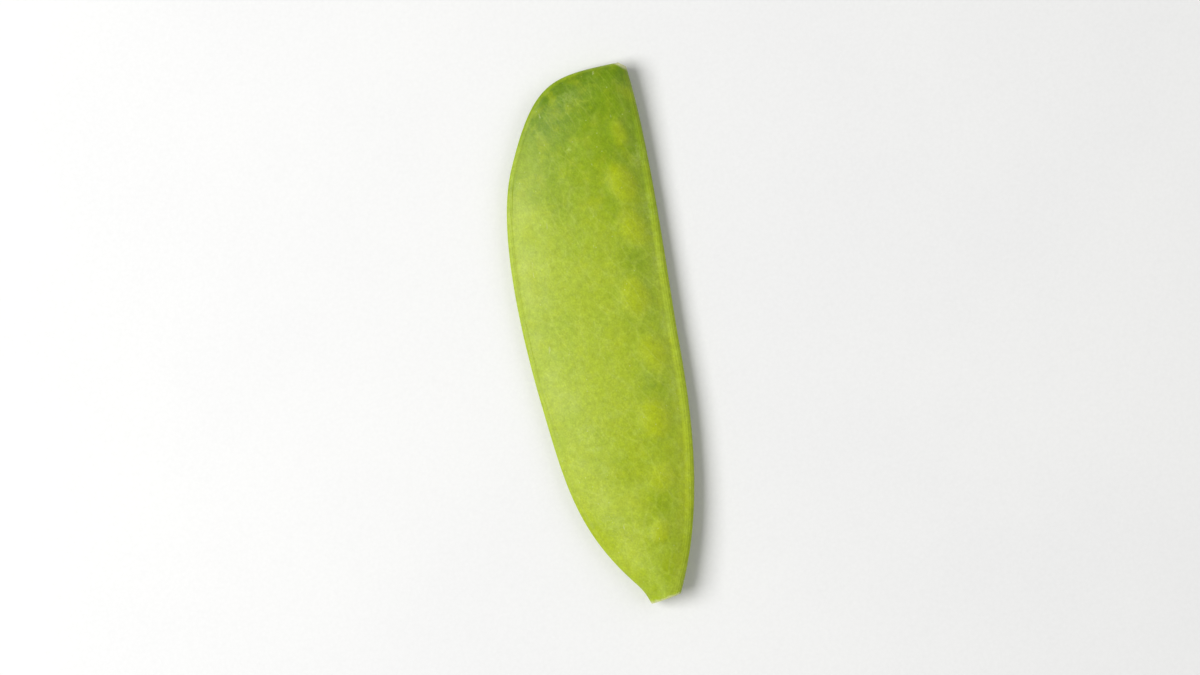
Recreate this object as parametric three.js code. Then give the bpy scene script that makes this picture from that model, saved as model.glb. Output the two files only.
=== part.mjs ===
// A snow pea pod, trimmed at both ends and lying on its side. Millimetres, +Z up.
// +X runs from the stem cut to the blossom tip, +Y to the curved back seam, -Y to the seed seam.
// A place on the pod is given by t, from 0 at the stem cut to 1 at the blossom tip along both seams,
// and s, from 0 at the seed seam to 1 at the back seam.
import * as THREE from "three";

// Each seam passes through a few knots. A knot has its place, its heading in degrees from +X,
// and how far the seam holds that heading before and after it.
const SEED_SEAM = [
  { x: -36.4, y: -6.8, heading: -23.3, before: 0, after: 14.2 },
  { x: -0.6, y: -10.8, heading: 2.8, before: 6.5, after: 8.7 },
  { x: 36.9, y: -8.2, heading: 10.5, before: 11, after: 0 },
];
const BACK_SEAM = [
  { x: -37.5, y: -2.5, heading: 22, before: 0, after: 1.5 },
  { x: -34.5, y: -0.7, heading: 41.6, before: 1.4, after: 10.8 },
  { x: -8.4, y: 9.3, heading: 9.4, before: 11.5, after: 9.7 },
  { x: 24.8, y: 9.5, heading: -20.6, before: 8.9, after: 12.8 },
  { x: 37.7, y: -7, heading: -85.3, before: 9.5, after: 0 },
];

// The walls: half their joint thickness where the pod is wide, how wide it must be to fill out,
// and how bluntly they round over towards the seams.
const WALL_HALF_THICKNESS = 2.2;
const FILLING_WIDTH = 4.5;
const WALL_ROUNDING = 0.7;

// The cords along the seams: radius, the most of a narrow end's width that a cord takes,
// and how sharply cord and wall meet.
const SEED_CORD_RADIUS = 0.72;
const SEED_CORD_SHARE = 0.2;
const BACK_CORD_RADIUS = 0.5;
const BACK_CORD_SHARE = 0.15;
const CORD_SHARPNESS = 3;

// The young seeds, which raise low swellings on both walls. Each has its place t along the pod,
// how far it sits from the seed seam, and its size beside a full one.
const SEEDS = [
  { t: 0.132, inset: 4.7, size: 0.6 },
  { t: 0.228, inset: 4.7, size: 0.8 },
  { t: 0.334, inset: 5, size: 0.95 },
  { t: 0.452, inset: 4, size: 1 },
  { t: 0.556, inset: 5.3, size: 0.95 },
  { t: 0.682, inset: 4.1, size: 1 },
  { t: 0.76, inset: 4.7, size: 1 },
  { t: 0.852, inset: 3.9, size: 0.75 },
];

// A full swelling's reach along and across the pod and its height, and how much more one wall
// swells than the other.
const SEED_REACH_ALONG = 3.8;
const SEED_REACH_ACROSS = 3.2;
const SEED_RISE = 0.4;
const SEED_SIDE_BIAS = 0.2;

// The pod isn't quite flat: how far its two ends lift, how much it twists from end to end,
// and how far its back seam droops.
const END_LIFT = 0.8;
const TWIST = 0.9;
const DROOP = 0.6;

// How it lies: turned about X and about Y, in degrees, so that the belly of its lower wall bears it
// right under its weight, and how deep the soft wall is pressed flat there.
const LIE_ROLL = 0.4;
const LIE_PITCH = 0.1;
const PRESSED_DEPTH = 0.15;

// The mesh: spans along the pod, spans across each wall, and how closely these crowd at the seams.
const SPANS_ALONG = 84;
const SPANS_ACROSS = 22;
const SEAM_CROWDING = 0.9;

const SKIN_GREEN = new THREE.Color(0.33, 0.44, 0.05);
const SKIN_ROUGHNESS = 0.5;

function ahead(knot, distance) {
  const heading = THREE.MathUtils.degToRad(knot.heading);
  return new THREE.Vector2(knot.x + distance * Math.cos(heading), knot.y + distance * Math.sin(heading));
}

function seamPath(knots) {
  const path = new THREE.CurvePath();
  for (let i = 1; i < knots.length; i += 1) {
    const [from, to] = [knots[i - 1], knots[i]];
    const leaving = ahead(from, from.after);
    const arriving = ahead(to, -to.before);
    path.add(new THREE.CubicBezierCurve(ahead(from, 0), leaving, arriving, ahead(to, 0)));
  }
  return path;
}

const seedSeam = seamPath(SEED_SEAM);
const backSeam = seamPath(BACK_SEAM);
const seedSeamLength = seedSeam.getLength();

// Height of a seam's round cord at a distance from its outer edge.
function cordHeight(distance, radius) {
  return Math.sqrt(Math.max(0, radius ** 2 - (distance - radius) ** 2));
}

// Half thickness of the walls at a place across the pod, where it is so wide.
function wallHeight(s, width) {
  const fullness = 1 - Math.exp(-width / FILLING_WIDTH);
  return WALL_HALF_THICKNESS * fullness * (4 * s * (1 - s)) ** WALL_ROUNDING;
}

// Swelling over the seeds on one side: the seeds hang from the two walls in turn.
function seedRise(t, distance, side) {
  return SEEDS.reduce((rise, seed, order) => {
    const along = ((t - seed.t) * seedSeamLength) / (SEED_REACH_ALONG * seed.size);
    const across = (distance - seed.inset) / (SEED_REACH_ACROSS * seed.size);
    const fall = Math.max(0, 1 - along ** 2 - across ** 2);
    const bias = 1 + SEED_SIDE_BIAS * side * (order % 2 === 0 ? 1 : -1);
    return rise + SEED_RISE * seed.size * bias * fall ** 2;
  }, 0);
}

// A point of the pod's surface on its upper side, 1, or its lower side, -1.
function surfacePoint(t, s, side) {
  const from = seedSeam.getPoint(t);
  const to = backSeam.getPoint(t);
  const width = from.distanceTo(to);
  const place = from.clone().lerp(to, s);
  const seedCord = Math.min(SEED_CORD_RADIUS, SEED_CORD_SHARE * width);
  const backCord = Math.min(BACK_CORD_RADIUS, BACK_CORD_SHARE * width);
  const heights = [
    cordHeight(s * width, seedCord),
    cordHeight((1 - s) * width, backCord),
    wallHeight(s, width) + seedRise(t, s * width, side),
  ];
  const half = heights.reduce((sum, height) => sum + height ** CORD_SHARPNESS, 0) ** (1 / CORD_SHARPNESS);
  const lengthwise = 2 * t - 1;
  const middle = END_LIFT * lengthwise ** 2 + TWIST * lengthwise * (s - 0.5) - DROOP * s ** 2;
  return new THREE.Vector3(place.x, place.y, middle + side * half);
}

// Rings of points around the pod, one for each place along it: over the top from the seed seam
// to the back seam, then back underneath.
function podGeometry() {
  const across = Array.from({ length: SPANS_ACROSS + 1 }, (_, i) => {
    const even = i / SPANS_ACROSS;
    return even - (SEAM_CROWDING * Math.sin(2 * Math.PI * even)) / (2 * Math.PI);
  });
  const ringSize = 2 * SPANS_ACROSS;
  const points = [];
  for (let i = 0; i <= SPANS_ALONG; i += 1) {
    const t = i / SPANS_ALONG;
    for (let j = 0; j < ringSize; j += 1) {
      const above = j <= SPANS_ACROSS;
      const s = above ? across[j] : across[ringSize - j];
      points.push(surfacePoint(t, s, above ? 1 : -1));
    }
  }

  const faces = [];
  for (let i = 0; i < SPANS_ALONG; i += 1) {
    for (let j = 0; j < ringSize; j += 1) {
      const here = i * ringSize + j;
      const beside = i * ringSize + ((j + 1) % ringSize);
      faces.push(here, here + ringSize, beside + ringSize);
      faces.push(here, beside + ringSize, beside);
    }
  }
  // The two cuts: each is closed by strips between its upper and lower points, which meet at the seams.
  for (let j = 0; j < SPANS_ACROSS; j += 1) {
    const upper = [j, j + 1];
    const lower = [(ringSize - j) % ringSize, ringSize - j - 1];
    const strip = [[upper[0], upper[1], lower[1]], [upper[0], lower[1], lower[0]]];
    const tip = SPANS_ALONG * ringSize;
    for (const [a, b, c] of strip.filter((corners) => new Set(corners).size === 3)) {
      faces.push(a, b, c);
      faces.push(tip + a, tip + c, tip + b);
    }
  }

  const geometry = new THREE.BufferGeometry().setFromPoints(points);
  geometry.setIndex(faces);
  return geometry;
}

// Lays the pod down, presses it flat where it touches, and centres it over the origin.
function layDown(geometry) {
  geometry.rotateX(THREE.MathUtils.degToRad(LIE_ROLL));
  geometry.rotateY(THREE.MathUtils.degToRad(LIE_PITCH));
  geometry.computeBoundingBox();
  const { min, max } = geometry.boundingBox;
  geometry.translate(-(min.x + max.x) / 2, -(min.y + max.y) / 2, -min.z - PRESSED_DEPTH);
  const position = geometry.getAttribute("position");
  for (let i = 0; i < position.count; i += 1) {
    position.setZ(i, Math.max(0, position.getZ(i)));
  }
  geometry.computeVertexNormals();
  return geometry;
}

const skin = new THREE.MeshStandardMaterial({ color: SKIN_GREEN, roughness: SKIN_ROUGHNESS, metalness: 0 });
const pod = new THREE.Mesh(layDown(podGeometry()), skin);
pod.name = "pod";

const part = new THREE.Group();
part.name = "snow_pea_pod";
part.add(pod);

export default part;
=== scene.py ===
"""A snow pea pod, trimmed at both ends, lying on its side on a pale table under soft light.

The pod is worked out in millimetres, in its own frame: +X runs from the stem cut to the blossom
tip, +Y to the curved back seam and -Y to the seed seam. A place on it is given by t, from 0 at the
stem cut to 1 at the blossom tip along both seams, and s, from 0 at the seed seam to 1 at the back
seam. Its mesh is in metres, where the frame's own pod lies.
"""
import logging
import math
from dataclasses import asdict, dataclass, field
from enum import Enum
from typing import ClassVar

import bpy
import numpy as np
from mathutils import Matrix, Vector


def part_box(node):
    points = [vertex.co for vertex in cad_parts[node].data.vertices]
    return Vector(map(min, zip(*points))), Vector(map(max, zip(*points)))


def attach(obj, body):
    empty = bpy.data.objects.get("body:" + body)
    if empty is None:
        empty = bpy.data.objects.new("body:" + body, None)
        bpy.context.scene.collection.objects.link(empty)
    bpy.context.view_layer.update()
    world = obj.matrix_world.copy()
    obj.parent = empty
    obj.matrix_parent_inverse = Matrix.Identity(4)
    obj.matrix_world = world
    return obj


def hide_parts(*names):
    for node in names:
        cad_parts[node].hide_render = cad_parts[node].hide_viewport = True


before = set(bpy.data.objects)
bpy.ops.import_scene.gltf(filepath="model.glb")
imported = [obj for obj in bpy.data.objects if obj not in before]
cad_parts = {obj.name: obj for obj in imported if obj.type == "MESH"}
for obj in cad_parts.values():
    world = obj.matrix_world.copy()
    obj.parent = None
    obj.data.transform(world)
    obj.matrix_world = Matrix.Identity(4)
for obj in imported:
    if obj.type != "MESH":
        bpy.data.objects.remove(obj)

LOG = logging.getLogger("snow_pea_pod")
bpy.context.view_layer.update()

MM = 0.001
PER_METRE = 1000.0
PHOTO_SIZE = (1200, 675)

Colour = tuple[float, float, float]
Socket = bpy.types.NodeSocket

# Tints that several layers of the skin share.
DEEP_GREEN: Colour = (0.198, 0.315, 0.002)
YELLOWED: Colour = (0.385, 0.455, 0.008)
# The pale grey-green of the wax bloom and rubs, also used for painted reflections and painted
# sheen.
WAX_AND_SHEEN: Colour = (0.48, 0.60, 0.14)


class Side(Enum):
    """Which of the pod's two walls, by the way it faces as the pod lies."""

    UPPER = 1
    LOWER = -1


class Trim(Enum):
    """Where the pod was trimmed, by its place along the seams."""

    STEM = 0
    TIP = 1


def smooth_step(low: float, high: float, value: np.ndarray) -> np.ndarray:
    """Eases from 0 to 1 as a value goes from low to high.

    Args:
        low: Where the easing starts.
        high: Where it ends.
        value: The values to ease.

    Returns:
        The eased values, between 0 and 1.
    """
    part = np.clip((value - low) / (high - low), 0.0, 1.0)
    return part * part * (3.0 - 2.0 * part)


def raised(wave: np.ndarray) -> np.ndarray:
    """Moves values between -1 and 1 to between 0 and 1."""
    return 0.5 + 0.5 * wave


@dataclass
class SmoothNoise:
    """Seeded noise over the pod's flat pattern, smooth from one lattice point to the next."""

    seed: int
    lattice_size: int = 128

    def __post_init__(self) -> None:
        """Draws the lattice once."""
        draw = np.random.default_rng(self.seed)
        self.lattice = draw.uniform(-1.0, 1.0, (self.lattice_size, self.lattice_size))

    def at(self, u: np.ndarray, v: np.ndarray) -> np.ndarray:
        """Reads the noise.

        Args:
            u: Places along the pod, in lattice steps.
            v: Places across the pod, in lattice steps.

        Returns:
            Values between -1 and 1.
        """
        column, row = np.floor(u).astype(int), np.floor(v).astype(int)
        ease_u = smooth_step(0.0, 1.0, u - column)
        ease_v = smooth_step(0.0, 1.0, v - row)
        corner = [
            self.lattice[(row + up) % self.lattice_size, (column + right) % self.lattice_size]
            for up in (0, 1)
            for right in (0, 1)
        ]
        lower = corner[0] + (corner[1] - corner[0]) * ease_u
        upper = corner[2] + (corner[3] - corner[2]) * ease_u
        return lower + (upper - lower) * ease_v


@dataclass(frozen=True)
class Knot:
    """A place that a seam passes through, its heading, and how far the seam holds it."""

    x: float
    y: float
    heading: float
    before: float = 0.0
    after: float = 0.0

    def ahead(self, distance: float) -> np.ndarray:
        """Gives the point at a distance along the knot's heading.

        Args:
            distance: Millimetres along the heading, negative for behind.

        Returns:
            The point's x and y.
        """
        turn = math.radians(self.heading)
        return np.array((self.x + distance * math.cos(turn), self.y + distance * math.sin(turn)))


@dataclass
class Seam:
    """One edge of the pod, a chain of smooth curves measured off by length."""

    knots: tuple[Knot, ...]
    steps: int = 400

    def __post_init__(self) -> None:
        """Draws the curves finely and measures them."""
        along = np.linspace(0.0, 1.0, self.steps)[:, None]
        spans = []
        for start, end in zip(self.knots, self.knots[1:]):
            leaving, arriving = start.ahead(start.after), end.ahead(-end.before)
            corners = (start.ahead(0.0), leaving, arriving, end.ahead(0.0))
            weights = (
                (1 - along) ** 3,
                3 * along * (1 - along) ** 2,
                3 * along**2 * (1 - along),
                along**3,
            )
            spans.append(sum(weight * corner for weight, corner in zip(weights, corners)))
        self.path = np.concatenate(spans)
        pieces = np.hypot(*np.diff(self.path, axis=0).T)
        self.run = np.concatenate(([0.0], np.cumsum(pieces)))
        self.length = float(self.run[-1])

    def at(self, t: np.ndarray) -> np.ndarray:
        """Gives points on the seam.

        Args:
            t: Places along the seam, from 0 at the stem cut to 1 at the blossom tip.

        Returns:
            The points' x and y, in a last axis of two.
        """
        run = np.asarray(t) * self.length
        return np.stack([np.interp(run, self.run, self.path[:, axis]) for axis in (0, 1)], axis=-1)


@dataclass(frozen=True)
class Seed:
    """A young seed: its place along the pod, its distance from the seed seam, and its size."""

    t: float
    inset: float
    size: float


@dataclass(frozen=True)
class SeedRow:
    """The young seeds, which raise low swellings on both walls beside the seed seam."""

    seeds: tuple[Seed, ...] = (
        Seed(0.132, 4.7, 0.6),
        Seed(0.228, 4.7, 0.8),
        Seed(0.334, 5.0, 0.95),
        Seed(0.452, 4.0, 1.0),
        Seed(0.556, 5.3, 0.95),
        Seed(0.682, 4.1, 1.0),
        Seed(0.76, 4.7, 1.0),
        Seed(0.852, 3.9, 0.75),
    )
    reach_along: float = 3.8
    reach_across: float = 3.2
    rise: float = 0.4
    side_bias: float = 0.2

    def swelling(
        self, run: np.ndarray, from_seam: np.ndarray, length: float, side: Side
    ) -> np.ndarray:
        """Works out how full each seed makes the wall at given places.

        Args:
            run: Places along the pod, as t.
            from_seam: Distances from the seed seam.
            length: The seed seam's length.
            side: The wall.

        Returns:
            The swelling as a share of a full seed's rise.
        """
        total = np.zeros(np.broadcast(run, from_seam).shape)
        for order, seed in enumerate(self.seeds):
            along = (run - seed.t) * length / (self.reach_along * seed.size)
            across = (from_seam - seed.inset) / (self.reach_across * seed.size)
            bias = 1.0 + self.side_bias * side.value * (1 if order % 2 == 0 else -1)
            total += seed.size * bias * np.maximum(0.0, 1.0 - along**2 - across**2) ** 2
        return total


@dataclass(frozen=True)
class SoftMark:
    """A soft-edged mark on one wall, placed and measured along X and Y."""

    side: Side
    x: float
    y: float
    length: float
    width: float
    strength: float


@dataclass(frozen=True)
class Markings:
    """Where the walls have grown a deeper green, and pale marks: rubs, and painted reflections by
    the seed seam.
    """

    stains: tuple[SoftMark, ...] = (
        SoftMark(Side.UPPER, 32.0, -2.6, 1.9, 2.4, 0.6),
        SoftMark(Side.UPPER, 28.9, 1.4, 1.3, 2.2, 0.5),
        SoftMark(Side.UPPER, 25.2, -5.2, 1.0, 2.2, 0.4),
        SoftMark(Side.UPPER, 19.0, 3.4, 2.2, 1.8, 0.35),
        SoftMark(Side.UPPER, 10.2, -6.6, 1.5, 1.6, 0.4),
        SoftMark(Side.UPPER, -7.5, -6.8, 1.6, 1.8, 0.4),
        SoftMark(Side.UPPER, -24.0, -5.6, 1.5, 1.4, 0.35),
        SoftMark(Side.LOWER, 24.0, 4.0, 3.4, 2.0, 0.5),
        SoftMark(Side.LOWER, 9.0, 5.6, 2.0, 1.5, 0.4),
        SoftMark(Side.LOWER, -18.0, 3.0, 3.0, 1.8, 0.45),
        SoftMark(Side.LOWER, -29.0, -4.0, 1.6, 1.8, 0.4),
    )
    # Pale marks: the first five, between the seeds along the seed seam, are painted reflections of
    # the light; the rest are rubs.
    rubs: tuple[SoftMark, ...] = (
        SoftMark(Side.UPPER, 24.2, -8.2, 1.7, 0.9, 0.6),
        SoftMark(Side.UPPER, 17.2, -8.7, 2.0, 0.8, 0.55),
        SoftMark(Side.UPPER, 9.6, -9.0, 1.8, 0.8, 0.45),
        SoftMark(Side.UPPER, 1.0, -9.2, 1.6, 0.7, 0.4),
        SoftMark(Side.UPPER, -7.6, -9.2, 1.9, 0.8, 0.45),
        SoftMark(Side.UPPER, 33.6, 0.4, 1.1, 1.5, 0.4),
        SoftMark(Side.UPPER, 26.4, 1.2, 0.3, 0.34, 0.9),
        SoftMark(Side.UPPER, -15.2, 2.8, 0.3, 1.1, 0.7),
        SoftMark(Side.UPPER, 17.0, 9.6, 1.4, 0.5, 0.4),
        SoftMark(Side.LOWER, 4.0, 0.5, 9.0, 2.6, 0.35),
        SoftMark(Side.LOWER, 21.5, -2.0, 0.5, 0.4, 0.8),
        SoftMark(Side.LOWER, -21.0, -1.0, 1.6, 0.35, 0.6),
    )

    @staticmethod
    def cover(marks: tuple[SoftMark, ...], x: np.ndarray, y: np.ndarray, side: Side) -> np.ndarray:
        """Works out how strongly a set of marks covers one wall at given places.

        Args:
            marks: The marks.
            x: Places along X.
            y: Places along Y.
            side: The wall.

        Returns:
            How strongly they show, from 0 to 1.
        """
        clear = np.ones(np.broadcast(x, y).shape)
        for mark in marks:
            if mark.side is side:
                away = ((x - mark.x) / mark.length) ** 2 + ((y - mark.y) / mark.width) ** 2
                clear = clear * (1.0 - mark.strength * np.exp(-away))
        return 1.0 - clear


@dataclass
class Relief:
    """What marks the skin by under a fifth of a millimetre, always cut in from the full form.

    Each mark reads the noise in a place of its own, so many lattice steps apart. All of them die
    out where a wall stands lower than full_from_height over the pod's middle surface.
    """

    dent_depth: float = 0.12
    dent_length: float = 11.0
    dent_width: float = 6.0
    ripple_depth: float = 0.035
    ripple_size: float = 2.1
    ripple_apart: float = 40.0
    pucker_depth: float = 0.07
    pucker_spacing: float = 1.7
    pucker_full_to: float = 1.0
    pucker_reach: float = 3.6
    pucker_apart: float = 20.0
    string_depth: float = 0.03
    string_spacing: float = 0.34
    string_reach: float = 1.5
    string_full_share: float = 0.6
    string_stray_length: float = 9.0
    string_apart: float = 5.0
    back_string_share: float = 0.6
    seam_notch: float = 0.07
    full_from_height: float = 0.6
    noises: dict[Side, SmoothNoise] = field(
        default_factory=lambda: {Side.UPPER: SmoothNoise(11), Side.LOWER: SmoothNoise(12)}
    )

    def strings(self, from_edge: np.ndarray, wander: np.ndarray) -> np.ndarray:
        """Draws the fine strings that run lengthwise in a seam's cord.

        Args:
            from_edge: Distances from the seam.
            wander: How far the strings stray there, in string steps.

        Returns:
            The depth between them, in millimetres.
        """
        wave = raised(np.cos(2.0 * math.pi * (from_edge / self.string_spacing + wander)))
        full_to = self.string_full_share * self.string_reach
        return self.string_depth * wave * (1.0 - smooth_step(full_to, self.string_reach, from_edge))

    def depth(
        self, along: np.ndarray, from_seed: np.ndarray, from_back: np.ndarray, side: Side
    ) -> np.ndarray:
        """Adds up how far the skin is cut in.

        Args:
            along: Distances from the stem cut.
            from_seed: Distances from the seed seam.
            from_back: Distances from the back seam.
            side: The wall.

        Returns:
            Depths, in millimetres.
        """
        noise = self.noises[side]
        dent = noise.at(along / self.dent_length, from_seed / self.dent_width)
        ripples_along = along / self.ripple_size + self.ripple_apart
        ripple = noise.at(ripples_along, from_seed / self.ripple_size)
        puckers_across = from_seed / self.pucker_reach + self.pucker_apart
        pucker = noise.at(along / self.pucker_spacing, puckers_across)
        puckered = 1.0 - smooth_step(self.pucker_full_to, self.pucker_reach, from_seed)
        wander = noise.at(along / self.string_stray_length, np.full_like(along, self.string_apart))
        strings = self.strings(from_seed, wander)
        strings = strings + self.back_string_share * self.strings(from_back, wander)
        depth = self.dent_depth * raised(dent) + self.ripple_depth * raised(ripple)
        depth = depth + self.pucker_depth * raised(pucker) * puckered
        return depth + strings


@dataclass
class PodForm:
    """The pod's full form: its seams, the cords along them, the walls and the way it lies."""

    seed_seam: Seam = field(
        default_factory=lambda: Seam((
            Knot(-36.4, -6.8, -23.3, after=14.2),
            Knot(-0.6, -10.8, 2.8, before=6.5, after=8.7),
            Knot(36.9, -8.2, 10.5, before=11.0),
        ))
    )
    back_seam: Seam = field(
        default_factory=lambda: Seam((
            Knot(-37.5, -2.5, 22.0, after=1.5),
            Knot(-34.5, -0.7, 41.6, before=1.4, after=10.8),
            Knot(-8.4, 9.3, 9.4, before=11.5, after=9.7),
            Knot(24.8, 9.5, -20.6, before=8.9, after=12.8),
            Knot(37.7, -7.0, -85.3, before=9.5),
        ))
    )
    seeds: SeedRow = SeedRow()
    wall_half_thickness: float = 2.2
    filling_width: float = 4.5
    wall_rounding: float = 0.7
    seed_cord_radius: float = 0.72
    seed_cord_share: float = 0.2
    back_cord_radius: float = 0.5
    back_cord_share: float = 0.15
    cord_sharpness: float = 3.0
    end_lift: float = 0.8
    twist: float = 0.9
    droop: float = 0.6
    lie_roll: float = 0.4
    lie_pitch: float = 0.1
    pressed_depth: float = 0.15

    def half_thickness(
        self, t: np.ndarray, from_seed: np.ndarray, width: np.ndarray, side: Side
    ) -> np.ndarray:
        """Works out how far one wall stands from the pod's middle surface.

        Args:
            t: Places along the pod.
            from_seed: Distances from the seed seam.
            width: The pod's width at those places.
            side: The wall.

        Returns:
            Heights above the middle surface, in millimetres.
        """
        seed_cord = np.minimum(self.seed_cord_radius, self.seed_cord_share * width)
        back_cord = np.minimum(self.back_cord_radius, self.back_cord_share * width)
        across = from_seed / width
        fullness = 1.0 - np.exp(-width / self.filling_width)
        rounded = (4.0 * across * (1.0 - across)) ** self.wall_rounding
        swelling = self.seeds.swelling(t, from_seed, self.seed_seam.length, side)
        heights = (
            np.sqrt(np.maximum(0.0, seed_cord**2 - (from_seed - seed_cord) ** 2)),
            np.sqrt(np.maximum(0.0, back_cord**2 - (width - from_seed - back_cord) ** 2)),
            self.wall_half_thickness * fullness * rounded + self.seeds.rise * swelling,
        )
        return sum(height**self.cord_sharpness for height in heights) ** (1.0 / self.cord_sharpness)

    def middle(self, t: np.ndarray, s: np.ndarray) -> np.ndarray:
        """Works out the pod's middle surface, which lifts, twists and droops a little.

        Args:
            t: Places along the pod.
            s: Places across the pod.

        Returns:
            Heights, in millimetres.
        """
        lengthwise = 2.0 * t - 1.0
        lift = self.end_lift * lengthwise**2
        return lift + self.twist * lengthwise * (s - 0.5) - self.droop * s**2

    def turned(self, points: np.ndarray) -> np.ndarray:
        """Turns points of the pod's own frame to the way it lies.

        Args:
            points: Points, with x, y and z in the last axis.

        Returns:
            The turned points.
        """
        roll = Matrix.Rotation(math.radians(self.lie_roll), 3, "X")
        pitch = Matrix.Rotation(math.radians(self.lie_pitch), 3, "Y")
        return points @ np.array(pitch @ roll).T


@dataclass
class CutFace:
    """A trimmed end: the sliced walls, the slit between them, and their slightly sunken flesh."""

    rows: int = 12
    slit_depth: float = 0.8
    slit_half_height: float = 0.085
    slit_from: float = 0.2
    slit_to: float = 0.86
    slit_ease: float = 0.2
    dish_depth: float = 0.1
    dish_full_from: float = 1.0
    row_crowding: float = 1.7

    def heights(self) -> np.ndarray:
        """Gives the rows between the upper wall, 1, and the lower wall, -1, closest at the slit."""
        even = np.linspace(1.0, -1.0, self.rows + 1)
        return np.sign(even) * np.abs(even) ** self.row_crowding

    def depth(self, s: np.ndarray, height: np.ndarray, half: np.ndarray) -> np.ndarray:
        """Works out how far the cut face is sunk in.

        Args:
            s: Places across the pod.
            height: Places between the walls, from 1 to -1.
            half: The pod's half thickness there.

        Returns:
            Depths into the pod, in millimetres.
        """
        spread = smooth_step(self.slit_from, self.slit_from + self.slit_ease, s)
        spread = spread * (1.0 - smooth_step(self.slit_to - self.slit_ease, self.slit_to, s))
        slit = np.exp(-((height * half / self.slit_half_height) ** 2))
        dish = (1.0 - height**2) * np.clip(half / self.dish_full_from, 0.0, 1.0)
        return self.slit_depth * slit * spread + self.dish_depth * dish


@dataclass
class MeshDraft:
    """The pod's mesh while it is being made: points, faces and what is known about each point."""

    points: list[np.ndarray] = field(default_factory=list)
    facts: dict[str, list[np.ndarray]] = field(default_factory=dict)
    faces: list[tuple[int, ...]] = field(default_factory=list)
    cut_faces: set[int] = field(default_factory=set)
    count: int = 0

    def add_points(self, points: np.ndarray, **facts: np.ndarray) -> int:
        """Adds points with their facts.

        Args:
            points: The points, with x, y and z in the last axis.
            **facts: A value of each named fact for every point.

        Returns:
            The number of the first point added.
        """
        first = self.count
        self.points.append(points.reshape(-1, 3))
        self.count += self.points[-1].shape[0]
        for name, values in facts.items():
            spread = np.broadcast_to(values, points.shape[:-1]).reshape(-1)
            self.facts.setdefault(name, []).append(spread)
        return first


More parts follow.
